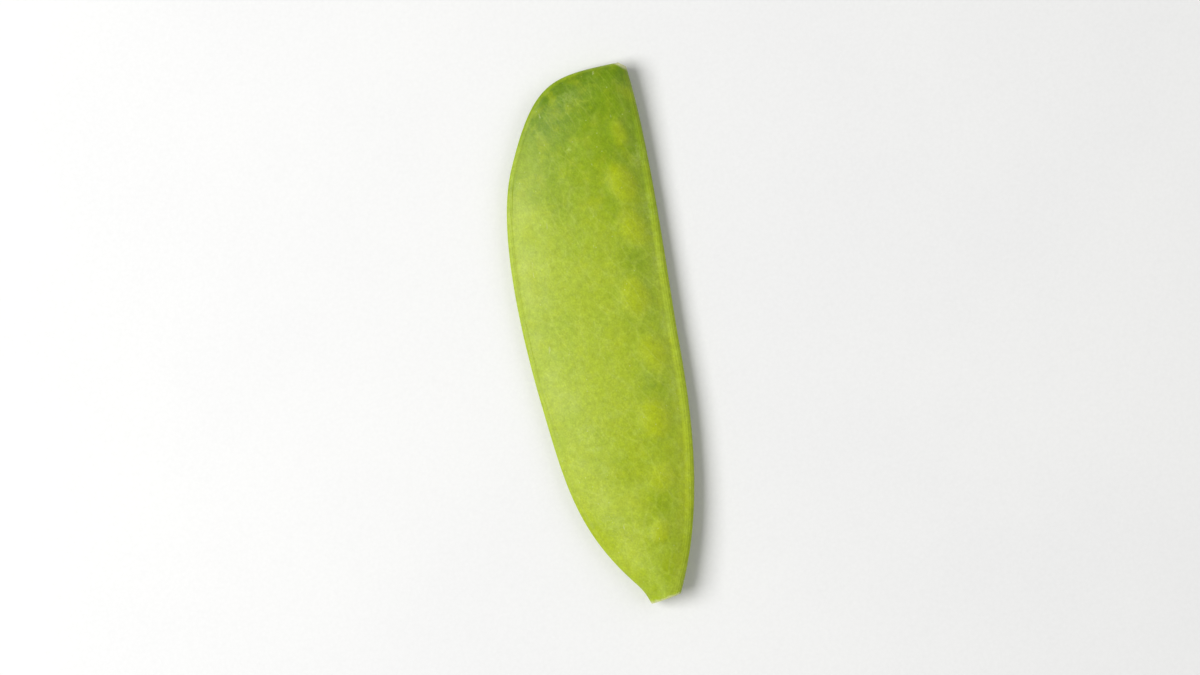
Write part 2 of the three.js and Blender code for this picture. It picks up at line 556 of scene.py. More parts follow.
@dataclass
class Pod:
    """The whole pod: it builds one closed mesh, lays it down and dresses it."""

    name: str = "pod_surface"
    spans_along: int = 370
    spans_across: int = 122
    seam_crowding: float = 0.8
    rim_spans: int = 4
    rim_depth: float = 0.12
    rim_rounding: float = 0.5
    rim_full_from: float = 1.0
    sharp_angle: float = 48.0
    form: PodForm = field(default_factory=PodForm)
    relief: Relief = field(default_factory=Relief)
    markings: Markings = Markings()
    cut: CutFace = field(default_factory=CutFace)

    def _stations(self) -> np.ndarray:
        """Spaces out the pod's rings, with a few more close to each cut.

        Returns:
            The rings' places along the pod.
        """
        length = self.form.seed_seam.length
        rim = self.rim_depth * np.linspace(0.0, 1.0, self.rim_spans + 1)[:-1] / length
        inner = self.rim_depth / length
        middle = np.linspace(inner, 1.0 - inner, self.spans_along + 1)
        return np.concatenate((rim, middle, 1.0 - rim[::-1]))

    def _across(self) -> np.ndarray:
        """Gives the places across a wall, which crowd at the seams."""
        even = np.linspace(0.0, 1.0, self.spans_across + 1)
        return even - self.seam_crowding * np.sin(2.0 * math.pi * even) / (2.0 * math.pi)

    def _wall(self, side: Side, with_relief: bool) -> tuple[np.ndarray, dict[str, np.ndarray]]:
        """Works out one wall as a grid of points.

        Args:
            side: The wall.
            with_relief: Whether the skin's relief is cut in.

        Returns:
            The points, and what is known about each of them.
        """
        form = self.form
        t = self._stations()[:, None]
        s = self._across()[None, :]
        seed_edge = form.seed_seam.at(t[:, 0])[:, None]
        back_edge = form.back_seam.at(t[:, 0])[:, None]
        width = np.linalg.norm(back_edge - seed_edge, axis=-1)
        from_seed, from_back = s * width, (1.0 - s) * width
        along = np.broadcast_to(t * form.seed_seam.length, from_seed.shape)
        to_cut = np.minimum(along, form.seed_seam.length - along)
        half = form.half_thickness(t, from_seed, width, side)
        shift = np.zeros_like(half)
        if with_relief:
            rounding = (1.0 - np.clip(to_cut / self.rim_depth, 0.0, 1.0)) ** 2
            rounding = self.rim_rounding * self.rim_depth * rounding
            half = half - rounding * np.minimum(1.0, half / self.rim_full_from)
            depth = self.relief.depth(along, from_seed, from_back, side)
            half = half - depth * smooth_step(0.0, self.relief.full_from_height, half)
            notch = self.relief.seam_notch
            at_seed, at_back = (np.exp(-((away / notch) ** 2)) for away in (from_seed, from_back))
            shift = notch * (at_seed - at_back)
        place = seed_edge + (back_edge - seed_edge) * (s + shift / width)[..., None]
        height = form.middle(t, s) + side.value * half
        facts = {
            "along_mm": along,
            "from_seed_seam_mm": from_seed,
            "from_back_seam_mm": from_back,
            "swelling": form.seeds.swelling(t, from_seed, form.seed_seam.length, side),
            "stain": Markings.cover(self.markings.stains, place[..., 0], place[..., 1], side),
            "rub_and_glint": Markings.cover(self.markings.rubs, place[..., 0], place[..., 1], side),
            "lower_wall": np.full_like(along, 1.0 if side is Side.LOWER else 0.0),
            "inside_mm": np.zeros_like(along),
        }
        return np.concatenate((place, height[..., None]), axis=-1), facts

    def _close_cut(
        self, draft: MeshDraft, trim: Trim, rings: np.ndarray, walls: dict[Side, np.ndarray]
    ) -> None:
        """Closes one trimmed end with its cut face.

        Args:
            draft: The mesh so far.
            trim: Which end.
            rings: The numbers of the points in each ring.
            walls: The two walls' points.
        """
        station = 0 if trim is Trim.STEM else -1
        upper, lower = walls[Side.UPPER][station], walls[Side.LOWER][station]
        ring = rings[station]
        across = self._across()
        line = upper[-1, :2] - upper[0, :2]
        inward = np.array((line[1], -line[0], 0.0)) / np.linalg.norm(line)
        inward *= 1.0 if trim is Trim.STEM else -1.0
        half = 0.5 * (upper[:, 2] - lower[:, 2])
        numbers = [ring[: self.spans_across + 1]]
        for height in self.cut.heights()[1:-1]:
            share = 0.5 * (1.0 - height)
            row = upper + (lower - upper) * share
            depth = self.cut.depth(across, np.full_like(across, height), half)
            row = (row + inward * depth[:, None])[1:-1]
            facts = dict.fromkeys(draft.facts, np.zeros(len(row)))
            facts["from_seed_seam_mm"] = across[1:-1] * np.linalg.norm(line)
            facts["from_back_seam_mm"] = (1.0 - across[1:-1]) * np.linalg.norm(line)
            facts["inside_mm"] = (1.0 - abs(height)) * half[1:-1]
            first = draft.add_points(row, **facts)
            middle = np.arange(first, first + len(row))
            numbers.append(np.concatenate(([ring[0]], middle, [ring[self.spans_across]])))
        numbers.append(np.concatenate(([ring[0]], ring[self.spans_across :][::-1])))
        for above, below in zip(numbers, numbers[1:]):
            for j in range(self.spans_across):
                corners = [above[j], above[j + 1], below[j + 1], below[j]]
                corners = list(dict.fromkeys(int(corner) for corner in corners))
                if trim is Trim.TIP:
                    corners.reverse()
                draft.cut_faces.add(len(draft.faces))
                draft.faces.append(tuple(corners))

    @staticmethod
    def _ringed(upper: np.ndarray, lower: np.ndarray) -> np.ndarray:
        """Joins both walls' rows into rings, which hold the points on the seams once."""
        return np.concatenate((upper, lower[:, -2:0:-1]), axis=1)

    def draft(self) -> MeshDraft:
        """Works out the closed mesh in the pod's own frame.

        Returns:
            The mesh draft, in millimetres.
        """
        walls, facts = {}, {}
        for side in Side:
            walls[side], facts[side] = self._wall(side, with_relief=True)
        draft = MeshDraft()
        around = 2 * self.spans_across
        stations = walls[Side.UPPER].shape[0]
        ring_facts = {
            name: self._ringed(values, facts[Side.LOWER][name])
            for name, values in facts[Side.UPPER].items()
        }
        draft.add_points(self._ringed(walls[Side.UPPER], walls[Side.LOWER]), **ring_facts)
        rings = np.arange(stations * around).reshape(stations, around)
        beside = np.roll(rings, -1, axis=1)
        quads = np.stack((rings[:-1], rings[1:], beside[1:], beside[:-1]), axis=-1).reshape(-1, 4)
        draft.faces.extend(map(tuple, quads.tolist()))
        for trim in Trim:
            self._close_cut(draft, trim, rings, walls)
        return draft

    def _laid_down(self, points: np.ndarray) -> np.ndarray:
        """Lays points of the pod down as its full form lies, pressed flat where it touches.

        Args:
            points: Points in the pod's own frame.

        Returns:
            The points as they lie, centred over the origin.
        """
        full = [self._wall(side, with_relief=False)[0].reshape(-1, 3) for side in Side]
        full = self.form.turned(np.concatenate(full))
        low, high = full.min(axis=0), full.max(axis=0)
        centre = 0.5 * (low + high)
        placed = self.form.turned(points) - (centre[0], centre[1], low[2] + self.form.pressed_depth)
        placed[:, 2] = np.maximum(0.0, placed[:, 2])
        return placed

    def build(self, skin: bpy.types.Material, flesh: bpy.types.Material) -> bpy.types.Object:
        """Builds the pod and dresses it.

        Args:
            skin: The finish of the walls and seams.
            flesh: The finish of the cut faces.

        Returns:
            The pod's object.
        """
        draft = self.draft()
        points = self._laid_down(np.concatenate(draft.points)) * MM
        mesh = bpy.data.meshes.new(self.name)
        mesh.from_pydata(points.tolist(), [], draft.faces)
        for name, values in draft.facts.items():
            attribute = mesh.attributes.new(name, "FLOAT", "POINT")
            attribute.data.foreach_set("value", np.concatenate(values).astype(np.float32))
        mesh.materials.append(skin)
        mesh.materials.append(flesh)
        slots = np.zeros(len(draft.faces), dtype=np.int32)
        slots[list(draft.cut_faces)] = 1
        mesh.polygons.foreach_set("material_index", slots)
        mesh.polygons.foreach_set("use_smooth", np.ones(len(draft.faces), dtype=bool))
        mesh.set_sharp_from_angle(angle=math.radians(self.sharp_angle))
        mesh.update()
        pod = bpy.data.objects.new(self.name, mesh)
        bpy.context.scene.collection.objects.link(pod)
        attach(pod, "root")
        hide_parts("pod")
        LOG.info("%s: %d points, %d faces", self.name, len(mesh.vertices), len(mesh.polygons))
        return pod


@dataclass(frozen=True)
class Fade:
    """An easing: from start to end, as the value that it follows goes from low to high."""

    low: float
    high: float
    start: float = 0.0
    end: float = 1.0


@dataclass
class NodeBench:
    """Places nodes in one tree and joins them, so that a finish reads as a list of steps."""

    tree: bpy.types.NodeTree

    MIX_FACTOR: ClassVar[int] = 0
    MIX_FIRST: ClassVar[int] = 6
    MIX_SECOND: ClassVar[int] = 7
    MIX_RESULT: ClassVar[int] = 2
    NOISE_MEAN: ClassVar[float] = 0.5

    def place(self, kind: str, **settings: object) -> bpy.types.Node:
        """Adds a node.

        Args:
            kind: Blender's name for the node type.
            **settings: Values for the node's own properties.

        Returns:
            The new node.
        """
        node = self.tree.nodes.new(kind)
        for name, value in settings.items():
            setattr(node, name, value)
        return node

    def feed(self, socket: Socket, source: object) -> None:
        """Joins a socket to another, or sets its plain value.

        Args:
            socket: The input to feed.
            source: An output socket, a number or a colour.
        """
        if isinstance(source, Socket):
            self.tree.links.new(source, socket)
        elif isinstance(source, tuple) and socket.type == "RGBA":
            socket.default_value = (*source, 1.0)
        else:
            socket.default_value = source

    def fill(self, node: bpy.types.Node, **sources: object) -> bpy.types.Node:
        """Feeds inputs of a node by their names.

        Args:
            node: The node.
            **sources: What feeds each input, by its name with underscores for spaces.

        Returns:
            The same node.
        """
        for name, source in sources.items():
            self.feed(node.inputs[name.replace("_", " ")], source)
        return node

    def _sum(self, kind: str, operation: str, first: object, second: object) -> Socket:
        """Does one sum with two values.

        Args:
            kind: Blender's name for the node type.
            operation: Blender's name for the sum.
            first: The first value, a socket or a plain value.
            second: The second value.

        Returns:
            The result.
        """
        node = self.place(kind, operation=operation)
        self.feed(node.inputs[0], first)
        self.feed(node.inputs[1], second)
        return node.outputs[0]

    def math(self, operation: str, first: object, second: object) -> Socket:
        """Does one sum with two numbers."""
        return self._sum("ShaderNodeMath", operation, first, second)

    def vector(self, operation: str, first: object, second: object) -> Socket:
        """Does one sum with two vectors."""
        return self._sum("ShaderNodeVectorMath", operation, first, second)

    def times(self, first: object, second: object) -> Socket:
        """Multiplies two numbers."""
        return self.math("MULTIPLY", first, second)

    def plus(self, first: object, second: object) -> Socket:
        """Adds two numbers."""
        return self.math("ADD", first, second)

    def ease(
        self, value: object, low: object, high: object, start: float = 0.0, end: float = 1.0
    ) -> Socket:
        """Eases from start to end as a value goes from low to high.

        Args:
            value: The value, a socket or a number.
            low: Where the easing starts.
            high: Where it ends.
            start: The result at low.
            end: The result at high.

        Returns:
            The eased value.
        """
        node = self.place("ShaderNodeMapRange", interpolation_type="SMOOTHSTEP")
        self.fill(node, Value=value, From_Min=low, From_Max=high, To_Min=start, To_Max=end)
        return node.outputs["Result"]

    def fade(self, value: object, fade: Fade) -> Socket:
        """Eases a value as a fade says."""
        return self.ease(value, fade.low, fade.high, fade.start, fade.end)

    def blend(self, share: object, first: object, second: object, way: str = "MIX") -> Socket:
        """Blends two colours.

        Args:
            share: How much of the second colour shows.
            first: The colour below, a socket or a colour.
            second: The colour above.
            way: Blender's name for the way they blend.

        Returns:
            The blended colour.
        """
        node = self.place("ShaderNodeMix", data_type="RGBA", blend_type=way, clamp_factor=True)
        self.feed(node.inputs[self.MIX_FACTOR], share)
        self.feed(node.inputs[self.MIX_FIRST], first)
        self.feed(node.inputs[self.MIX_SECOND], second)
        return node.outputs[self.MIX_RESULT]

    def tint(self, colour: object, tint: Colour, mask: Socket, share: object) -> Socket:
        """Blends a tint into a colour, by a share of a mask."""
        return self.blend(self.times(mask, share), colour, tint)

    def shaded(self, colour: Socket, shade: Socket) -> Socket:
        """Multiplies a colour by a shade."""
        return self.blend(1.0, colour, shade, way="MULTIPLY")

    def fact(self, name: str) -> Socket:
        """Reads a fact that the mesh holds for each point."""
        return self.place("ShaderNodeAttribute", attribute_name=name).outputs["Fac"]

    def place_mm(self) -> Socket:
        """Gives the place on the piece.

        Returns:
            The place, in millimetres.
        """
        node = self.place("ShaderNodeVectorMath", operation="SCALE")
        self.feed(node.inputs[0], self.place("ShaderNodeTexCoord").outputs["Object"])
        self.feed(node.inputs["Scale"], PER_METRE)
        return node.outputs[0]

    def triple(self, x: object, y: object, z: object = 0.0) -> Socket:
        """Joins three values into a vector."""
        return self.fill(self.place("ShaderNodeCombineXYZ"), X=x, Y=y, Z=z).outputs[0]

    def noise(
        self, place: Socket, size: object, detail: float = 2.0, roughness: float = 0.5
    ) -> Socket:
        """Draws soft noise with spots of a given size.

        Args:
            place: The place, in millimetres.
            size: The size of a spot, in millimetres, a socket or a number.
            detail: How many finer layers it has.
            roughness: How strong these are.

        Returns:
            The noise, with about NOISE_MEAN as its average.
        """
        node = self.place("ShaderNodeTexNoise")
        scale = self.math("DIVIDE", 1.0, size)
        self.fill(node, Vector=place, Scale=scale, Detail=detail, Roughness=roughness)
        return node.outputs["Fac"]

    def cells(self, place: Socket, size: object) -> Socket:
        """Draws a tiling of uneven cells of a given size.

        Args:
            place: The place, in millimetres.
            size: The size of a cell, in millimetres.

        Returns:
            The distance to the nearest cell's middle, in cell sizes.
        """
        node = self.place("ShaderNodeTexVoronoi", feature="F1")
        self.fill(node, Vector=place, Scale=self.math("DIVIDE", 1.0, size))
        return node.outputs["Distance"]


@dataclass(frozen=True)
class SharedEffect:
    """A node group that is built once and placed in finishes, each time with values of its own.

    An effect's fields are those values. Each feeds the group's input of the same name.
    """

    group_name: ClassVar[str]

    def _open(
        self, inputs: dict[str, float | None], outputs: tuple[str, ...]
    ) -> tuple[NodeBench, dict[str, Socket], bpy.types.Node]:
        """Makes the empty group.

        Args:
            inputs: Each input's name, with its plain value or, for a vector, with None.
            outputs: The names of the outputs, which are all single values.

        Returns:
            A bench for the group's tree, what it is given by name, and its output node.
        """
        tree = bpy.data.node_groups.new(self.group_name, "ShaderNodeTree")
        for name, value in inputs.items():
            kind = "NodeSocketVector" if value is None else "NodeSocketFloat"
            socket = tree.interface.new_socket(name, in_out="INPUT", socket_type=kind)
            if value is not None:
                socket.default_value = value
        for name in outputs:
            tree.interface.new_socket(name, in_out="OUTPUT", socket_type="NodeSocketFloat")
        bench = NodeBench(tree)
        giver = bench.place("NodeGroupInput")
        given = {name: giver.outputs[name] for name in inputs}
        return bench, given, bench.place("NodeGroupOutput")

    def tree(self) -> bpy.types.NodeTree:
        """Gives the group's tree, building it the first time."""
        return bpy.data.node_groups.get(self.group_name) or self.build()

    def build(self) -> bpy.types.NodeTree:
        """Builds the group; each effect does this its own way."""
        raise NotImplementedError

    def use(self, bench: NodeBench, **sources: Socket) -> bpy.types.Node:
        """Places the group in a finish.

        Args:
            bench: The finish's bench.
            **sources: What feeds the inputs that change over the surface.

        Returns:
            The group's node.
        """
        values = {name.capitalize(): value for name, value in asdict(self).items()}
        node = bench.place("ShaderNodeGroup", node_tree=self.tree())
        return bench.fill(node, **sources, **values)


@dataclass(frozen=True)
class FineGrain(SharedEffect):
    """Small light and dark cells with a height to match, as in skin, flesh or a matt table."""

    size: float
    contrast: float

    group_name: ClassVar[str] = "Fine grain"
    cell_share: ClassVar[float] = 0.5
    mean_height: ClassVar[float] = 0.22

    def build(self) -> bpy.types.NodeTree:
        """Builds the group: cells and noise of one size, put out as a shade and a height.

        Returns:
            The group's tree.
        """
        inputs = {"Place": None, "Size": 0.3, "Contrast": 0.1}
        bench, given, put_out = self._open(inputs, ("Shade", "Height"))
        cells = bench.cells(given["Place"], given["Size"])
        noise = bench.noise(given["Place"], given["Size"], detail=3.0, roughness=0.6)
        height = bench.math("SUBTRACT", noise, bench.times(cells, self.cell_share))
        swing = bench.times(bench.math("SUBTRACT", height, self.mean_height), given["Contrast"])
        bench.fill(put_out, Shade=bench.plus(1.0, swing), Height=height)
        return bench.tree


@dataclass(frozen=True)
class SoftPatches(SharedEffect):
    """Soft-edged patches, as of wax bloom, of ripeness or of drying.

    They come in as their noise goes from low to high.
    """

    size: float
    low: float
    high: float

    group_name: ClassVar[str] = "Soft patches"

    def build(self) -> bpy.types.NodeTree:
        """Builds the group: layered noise, eased between two levels into a mask.

        Returns:
            The group's tree.
        """
        inputs = {"Place": None, "Size": 6.0, "Low": 0.4, "High": 0.6}
        bench, given, put_out = self._open(inputs, ("Mask",))
        noise = bench.noise(given["Place"], given["Size"], detail=4.0, roughness=0.55)
        bench.fill(put_out, Mask=bench.ease(noise, given["Low"], given["High"]))
        return bench.tree

    def mask(self, bench: NodeBench, place: Socket) -> Socket:
        """Places the group in a finish and gives its mask."""
        return self.use(bench, Place=place).outputs["Mask"]


@dataclass(frozen=True)
class VeinNet(SharedEffect):
    """A net of fine veins, whose long meshes slant from the seed seam towards the blossom tip."""

    mesh_length: float
    mesh_width: float
    line_width: float
    bend: float

    group_name: ClassVar[str] = "Vein net"
    slant: ClassVar[float] = 40.0
    bend_size: ClassVar[float] = 3.2
    unevenness: ClassVar[float] = 0.85

    def build(self) -> bpy.types.NodeTree:
        """Builds the group: the borders of stretched cells, bent a little, put out as a mask.

        Returns:
            The group's tree.
        """
        sizes = {"Mesh length": 5.0, "Mesh width": 2.2, "Line width": 0.2, "Bend": 1.0}
        bench, given, put_out = self._open({"Along": 0.0, "Across": 0.0, **sizes}, ("Lines",))
        flat = bench.triple(given["Along"], given["Across"])
        wander = bench.fill(
            bench.place("ShaderNodeTexNoise"), Vector=flat, Scale=1.0 / self.bend_size
        )
        shift = bench.vector("SUBTRACT", wander.outputs["Color"], (bench.NOISE_MEAN,) * 3)
        bend = bench.triple(given["Bend"], given["Bend"])
        bent = bench.vector("ADD", flat, bench.vector("MULTIPLY", shift, bend))
        turn = bench.place("ShaderNodeVectorRotate", rotation_type="Z_AXIS")
        bench.fill(turn, Vector=bent, Angle=-math.radians(self.slant))
        mesh = bench.triple(given["Mesh length"], given["Mesh width"], 1.0)
        stretched = bench.vector("DIVIDE", turn.outputs["Vector"], mesh)
        cells = bench.place(
            "ShaderNodeTexVoronoi", feature="DISTANCE_TO_EDGE", voronoi_dimensions="2D"
        )
        bench.fill(cells, Vector=stretched, Scale=1.0, Randomness=self.unevenness)
        border = bench.times(cells.outputs["Distance"], given["Mesh width"])
        bench.fill(put_out, Lines=bench.ease(border, 0.0, given["Line width"], 1.0, 0.0))
        return bench.tree


@dataclass(frozen=True)
class Finish:
    """What every finish shares: a name and the way its material is opened."""

    name: str

    def _open(self) -> tuple[bpy.types.Material, NodeBench, bpy.types.Node]:
        """Makes an empty material.

        Returns:
            The material, a bench for its tree and its Principled shader.
        """
        material = bpy.data.materials.new(self.name)
        material.use_nodes = True
        material.node_tree.nodes.clear()
        bench = NodeBench(material.node_tree)
        shader = bench.place("ShaderNodeBsdfPrincipled")
        bench.fill(bench.place("ShaderNodeOutputMaterial"), Surface=shader.outputs["BSDF"])
        return material, bench, shader

    @staticmethod
    def _bump(bench: NodeBench, shader: bpy.types.Node, height: Socket, depth_mm: float) -> None:
        """Raises the surface by a height between 0 and 1.

        Args:
            bench: The material's bench.
            shader: Its Principled shader.
            height: The height.
            depth_mm: What a height of 1 measures, in millimetres.
        """
        node = bench.place("ShaderNodeBump")
        bench.fill(node, Height=height, Distance=depth_mm * MM, Strength=1.0)
        bench.feed(shader.inputs["Normal"], node.outputs["Normal"])


# The layers of the skin. Their fades follow a mask, or millimetres from the stem cut or a seam.
# A share is how much of a tint shows where its mask is full.


@dataclass(frozen=True)
class WallGreen:
    """The walls' green: deeper at the tip, yellower at the stem, paler by the back seam (partly a
    painted highlight).

    The borders between these stray by border_stray, in spots as large as border_spot.
    """

    wall: Colour = (0.345, 0.448, 0.013)
    pale: Colour = (0.40, 0.495, 0.050)
    darkest: Colour = (0.115, 0.215, 0.001)
    border_spot: float = 6.0
    border_stray: float = 12.0
    tipwards: Fade = Fade(52.0, 72.0)
    stemwards: Fade = Fade(14.0, 42.0, 1.0, 0.0)
    yellow_share: float = 0.5
    # Paler by the back seam: partly the wall's own tone, partly a painted highlight towards the key
    # lamp.
    paling: Fade = Fade(0.6, 6.5, 0.8, 0.3)
    unpaled_share: float = 0.8
    turning: Fade = Fade(1.0, 9.5, 1.0, 0.0)
    patches: SoftPatches = SoftPatches(size=7.0, low=0.4, high=0.68)
    patch_share: float = 0.26
    stain_spot: float = 0.9
    stain_raggedness: Fade = Fade(0.3, 0.6, 0.5, 1.0)

    def colour(self, bench: NodeBench, place: Socket) -> Socket:
        """Colours the walls.

        Args:
            bench: The material's bench.
            place: The place, in millimetres.

        Returns:
            The colour.
        """
        along, from_back = bench.fact("along_mm"), bench.fact("from_back_seam_mm")
        stray = bench.times(bench.noise(place, self.border_spot, detail=3.0), self.border_stray)
        tipwards = bench.fade(bench.plus(along, stray), self.tipwards)
        stemwards = bench.fade(bench.plus(along, stray), self.stemwards)
        middle = bench.math("SUBTRACT", 1.0, tipwards)
        middle = bench.math("SUBTRACT", middle, bench.times(stemwards, self.unpaled_share))
        colour = bench.tint(self.wall, YELLOWED, stemwards, self.yellow_share)
        # Paler by the back seam: partly the wall's own paler tone, partly a painted highlight where
        # the wall rolls off towards the key lamp.
        colour = bench.tint(colour, self.pale, bench.fade(from_back, self.paling), middle)
        colour = bench.tint(colour, DEEP_GREEN, self.patches.mask(bench, place), self.patch_share)
        # Darker green towards the tip, and darker still at the tip by the back seam.
        colour = bench.blend(tipwards, colour, DEEP_GREEN)
        turned = bench.times(tipwards, bench.fade(from_back, self.turning))
        ragged = bench.fade(bench.noise(place, self.stain_spot), self.stain_raggedness)
        stains = bench.times(bench.fact("stain"), ragged)
        return bench.blend(bench.math("MAXIMUM", stains, turned), colour, self.darkest)


@dataclass(frozen=True)
class Mottling:
    """Small soft mottling, yellower in one place and greyer with wax in the next."""

    yellow: SoftPatches = SoftPatches(size=2.2, low=0.46, high=0.7)
    yellow_share: float = 0.38
    grey: SoftPatches = SoftPatches(size=1.5, low=0.48, high=0.72)
    grey_share: float = 0.17
    grey_apart: tuple[float, float, float] = (37.0, 11.0, 5.0)
    grey_along: Fade = Fade(48.0, 66.0, 1.0, 0.5)

    def over(self, bench: NodeBench, place: Socket, colour: Socket) -> Socket:
        """Adds the mottling.

        Args:
            bench: The material's bench.
            place: The place, in millimetres.
            colour: The colour so far.

        Returns:
            The colour with the mottling.
        """
        yellow = self.yellow.mask(bench, place)
        grey = self.grey.mask(bench, bench.vector("ADD", place, self.grey_apart))
        grey = bench.times(grey, bench.fade(bench.fact("along_mm"), self.grey_along))
        colour = bench.tint(colour, YELLOWED, yellow, self.yellow_share)
        return bench.tint(colour, WAX_AND_SHEEN, grey, self.grey_share)


@dataclass(frozen=True)
class SeedGlow:
    """The seeds that show through, yellow, with deeper green between them."""

    glow: Colour = (0.385, 0.470, 0.005)
    row_near_edge: Fade = Fade(1.2, 3.0)
    row_far_edge: Fade = Fade(5.5, 8.5, 1.0, 0.0)
    between: Fade = Fade(0.0, 0.35, 0.26, 0.0)
    over_seed: Fade = Fade(0.06, 0.75, 0.0, 0.75)

    def over(self, bench: NodeBench, colour: Socket) -> Socket:
        """Adds the seeds.

        Args:
            bench: The material's bench.
            colour: The colour so far.

        Returns:
            The colour with the seeds.
        """
        swelling, from_seed = bench.fact("swelling"), bench.fact("from_seed_seam_mm")
        near = bench.fade(from_seed, self.row_near_edge)
        row = bench.times(near, bench.fade(from_seed, self.row_far_edge))
        colour = bench.tint(colour, DEEP_GREEN, row, bench.fade(swelling, self.between))
        return bench.blend(bench.fade(swelling, self.over_seed), colour, self.glow)


@dataclass(frozen=True)
class Veins:
    """The veins, a wide net and a finer one between its lines.

    The lower wall reads both nets lower_wall_apart millimetres further on, so its veins differ.
    """

    vein: Colour = (0.47, 0.57, 0.075)
    wide: VeinNet = VeinNet(mesh_length=5.4, mesh_width=2.3, line_width=0.24, bend=1.3)
    wide_share: float = 0.19
    wide_height: float = 0.35
    fine: VeinNet = VeinNet(mesh_length=1.7, mesh_width=0.95, line_width=0.13, bend=0.5)
    fine_share: float = 0.13
    fine_height: float = 0.2
    lower_wall_apart: float = 300.0
    clear_of_edges: Fade = Fade(0.6, 2.0)
    fading: SoftPatches = SoftPatches(size=5.0, low=0.3, high=0.62)
    faded: Fade = Fade(0.0, 1.0, 0.35, 1.0)
    shown_along: Fade = Fade(44.0, 62.0, 1.1, 0.75)

    def over(self, bench: NodeBench, place: Socket, colour: Socket) -> tuple[Socket, Socket]:
        """Adds the veins.

        Args:
            bench: The material's bench.
            place: The place, in millimetres.
            colour: The colour so far.

        Returns:
            The colour with the veins, and both nets as one height.
        """
        from_stem, across = bench.fact("along_mm"), bench.fact("from_seed_seam_mm")
        apart = bench.times(bench.fact("lower_wall"), self.lower_wall_apart)
        along = bench.plus(from_stem, apart)
        to_edge = bench.math("MINIMUM", across, bench.fact("from_back_seam_mm"))
        faded = bench.fade(self.fading.mask(bench, place), self.faded)
        shown = bench.times(bench.fade(to_edge, self.clear_of_edges), faded)
        shown = bench.times(shown, bench.fade(from_stem, self.shown_along))
        heights = []
        for net, share, height in (
            (self.wide, self.wide_share, self.wide_height),
            (self.fine, self.fine_share, self.fine_height),
        ):
            lines = net.use(bench, Along=along, Across=across).outputs["Lines"]
            lines = bench.times(lines, shown)
            colour = bench.tint(colour, self.vein, lines, share)
            heights.append(bench.times(lines, height))
        return colour, bench.plus(*heights)


@dataclass(frozen=True)
class SeamEdges:
    """The slightly paler cords, a thin pale line where the walls join, partly a painted highlight,
    and the cuts' dried rims.
    """

    cord: Colour = (0.36, 0.47, 0.016)
    seed_cord: Fade = Fade(0.52, 1.3, 0.4, 0.0)
    back_cord: Fade = Fade(0.36, 0.9, 0.4, 0.0)
    # Thin pale line at the join: partly the seam's own colour, partly a painted highlight along the
    # edge.
    line: Colour = (0.52, 0.61, 0.13)
    seed_line: Fade = Fade(0.018, 0.06, 0.42, 0.0)
    back_line: Fade = Fade(0.0135, 0.045, 0.42, 0.0)
    dry: Colour = (0.62, 0.62, 0.36)
    rim_spot: float = 0.7
    rim_stray: float = 0.5
    stem_rim: Fade = Fade(0.25, 0.7, 0.75, 0.0)
    tip_rim: Fade = Fade(73.4, 73.95, 0.0, 0.85)

    def over(self, bench: NodeBench, place: Socket, colour: Socket) -> Socket:
        """Adds the cords, the lines and the rims.

        Args:
            bench: The material's bench.
            place: The place, in millimetres.
            colour: The colour so far.

        Returns:
            The colour with them.
        """
        for fact, cord, line in (
            ("from_seed_seam_mm", self.seed_cord, self.seed_line),
            ("from_back_seam_mm", self.back_cord, self.back_line),
        ):
            from_edge = bench.fact(fact)
            colour = bench.blend(bench.fade(from_edge, cord), colour, self.cord)
            # The thin pale line where the walls join: partly the seam's own colour, partly a
            # painted highlight along the edge.
            colour = bench.blend(bench.fade(from_edge, line), colour, self.line)
        stray = bench.times(bench.noise(place, self.rim_spot), self.rim_stray)
        along = bench.plus(bench.fact("along_mm"), stray)
        rims = bench.plus(bench.fade(along, self.stem_rim), bench.fade(along, self.tip_rim))
        return bench.blend(rims, colour, self.dry)


